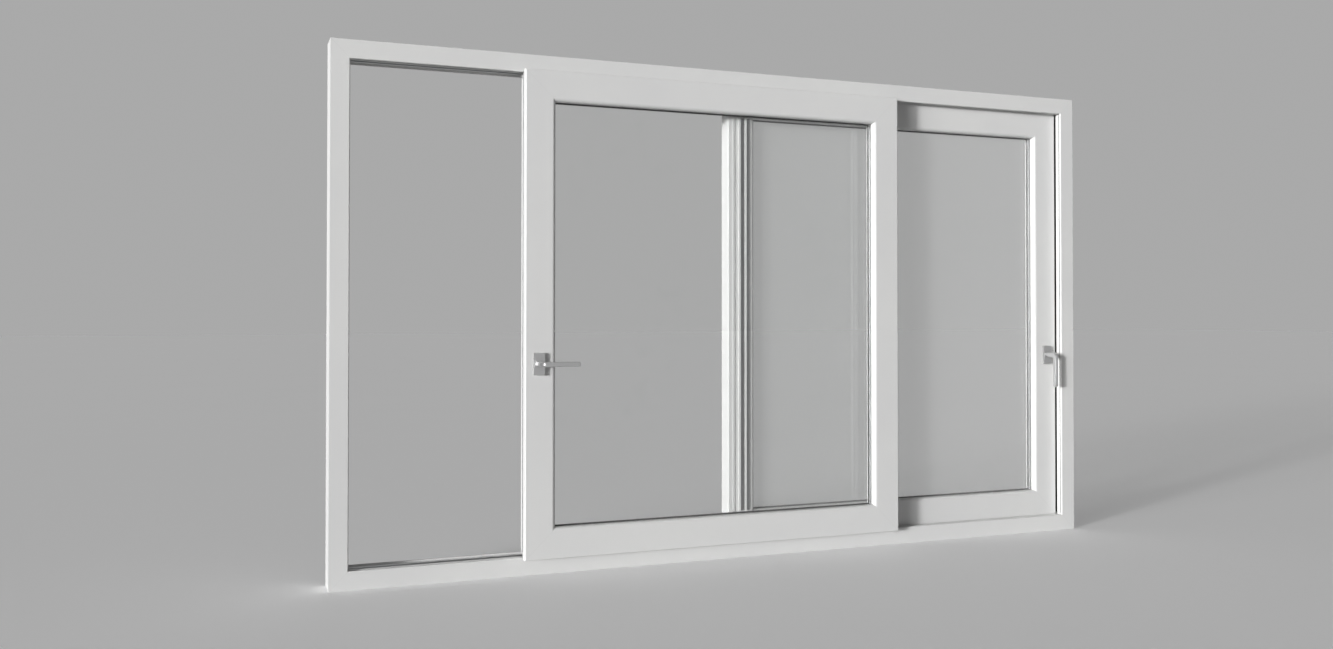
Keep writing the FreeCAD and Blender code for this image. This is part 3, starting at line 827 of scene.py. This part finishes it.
# %% [markdown]
# ## Floor and light
#
# The floor is one pale sheet that runs out of sight. Behind it the world shows a plain pale grey to the
# camera, to gloss and to glass, and a weaker grey lights the object, so that the background doesn't add
# glare. A faint glow that only those rays meet lifts the floor to the same grey, so that no horizon shows.
#
# A key light comes from the left, as in the picture, and the pale surroundings fill the shadows. Its
# shadows start with a clear edge and then fade out slowly, so it is two lamps in one place: a narrow core
# and a wide halo. A lamp's mirror image on satin metal is far brighter than the metal, and turns whole
# edges white. So the key lights dull surfaces only, and a weaker lamp nearer the middle shows in gloss
# only, as a small soft box would.


# %% Helper that picks the rays that end in the picture
def rays_that_show(tree):
    """1 for rays from the camera, from gloss and through glass, 0 for rays that only carry light."""
    rays = add(tree, "LightPath").outputs
    seen = maths(tree, "MAXIMUM", rays["Is Camera Ray"], rays["Is Glossy Ray"])
    return maths(tree, "MAXIMUM", seen, rays["Is Transmission Ray"])


print("ray helper ready")

# %% Pale floor
FLOOR_HALF = 40.0
FLOOR_DROP = 0.2 * MM
FLOOR_TONES = ((0.76, 0.76, 0.76, 1), (0.74, 0.74, 0.74, 1))
FLOOR_LIFT = 0.19
floor_mesh = bpy.data.meshes.new("floor")
floor_shape = bmesh.new()
bmesh.ops.create_grid(floor_shape, x_segments=1, y_segments=1, size=FLOOR_HALF)
floor_shape.to_mesh(floor_mesh)
floor_shape.free()
floor = bpy.data.objects.new("floor", floor_mesh)
floor.location.z = -FLOOR_DROP
bpy.context.scene.collection.objects.link(floor)
floor_finish, floor_tree, floor_shader = start_finish("pale_floor")
floor_mottle = place_group(floor_tree, soft_mottle, Broad=0.8, Fine=40.0)
floor_colour = blend_colours(floor_tree, floor_mottle["Broad"], *FLOOR_TONES)
floor_tree.links.new(floor_colour, floor_shader.inputs["Base Color"])
floor_shader.inputs["Roughness"].default_value = 0.9
floor_shader.inputs["Specular IOR Level"].default_value = 0.2
floor_shader.inputs["Emission Color"].default_value = (1, 1, 1, 1)
floor_lift = maths(floor_tree, "MULTIPLY", rays_that_show(floor_tree), FLOOR_LIFT)
floor_tree.links.new(floor_lift, floor_shader.inputs["Emission Strength"])
floor_mesh.materials.append(floor_finish)
print("floor", FLOOR_HALF * 2, "m wide")

# %% World
BACKGROUND = 0.40
AMBIENT = 0.12
world = bpy.data.worlds.new("studio")
bpy.context.scene.world = world
world.use_nodes = True
sky = world.node_tree
strength = maths(sky, "MULTIPLY_ADD", rays_that_show(sky), BACKGROUND - AMBIENT, AMBIENT)
sky.nodes["Background"].inputs["Color"].default_value = (1, 1, 1, 1)
sky.links.new(strength, sky.nodes["Background"].inputs["Strength"])
print("background", BACKGROUND, "ambient", AMBIENT)


# %% Key light, its halo and a glint
def soft_sun(name, towards_light, strength, spread_deg, in_gloss):
    """Sun lamp with soft shadows that lights either dull surfaces or gloss."""
    lamp = bpy.data.lights.new(name, "SUN")
    lamp.energy = strength
    lamp.angle = math.radians(spread_deg)
    holder = bpy.data.objects.new(name, lamp)
    holder.rotation_euler = Vector(towards_light).to_track_quat("Z", "Y").to_euler()
    holder.visible_glossy = in_gloss
    holder.visible_diffuse = not in_gloss
    bpy.context.scene.collection.objects.link(holder)


KEY_FROM = (-0.885, -0.42, 0.08)
GLINT_FROM = (-0.36, -0.93, 0.1)
soft_sun("key", KEY_FROM, strength=2.55, spread_deg=6.0, in_gloss=False)
soft_sun("key_halo", KEY_FROM, strength=2.5, spread_deg=28.0, in_gloss=False)
soft_sun("glint", GLINT_FROM, strength=0.9, spread_deg=22.0, in_gloss=True)
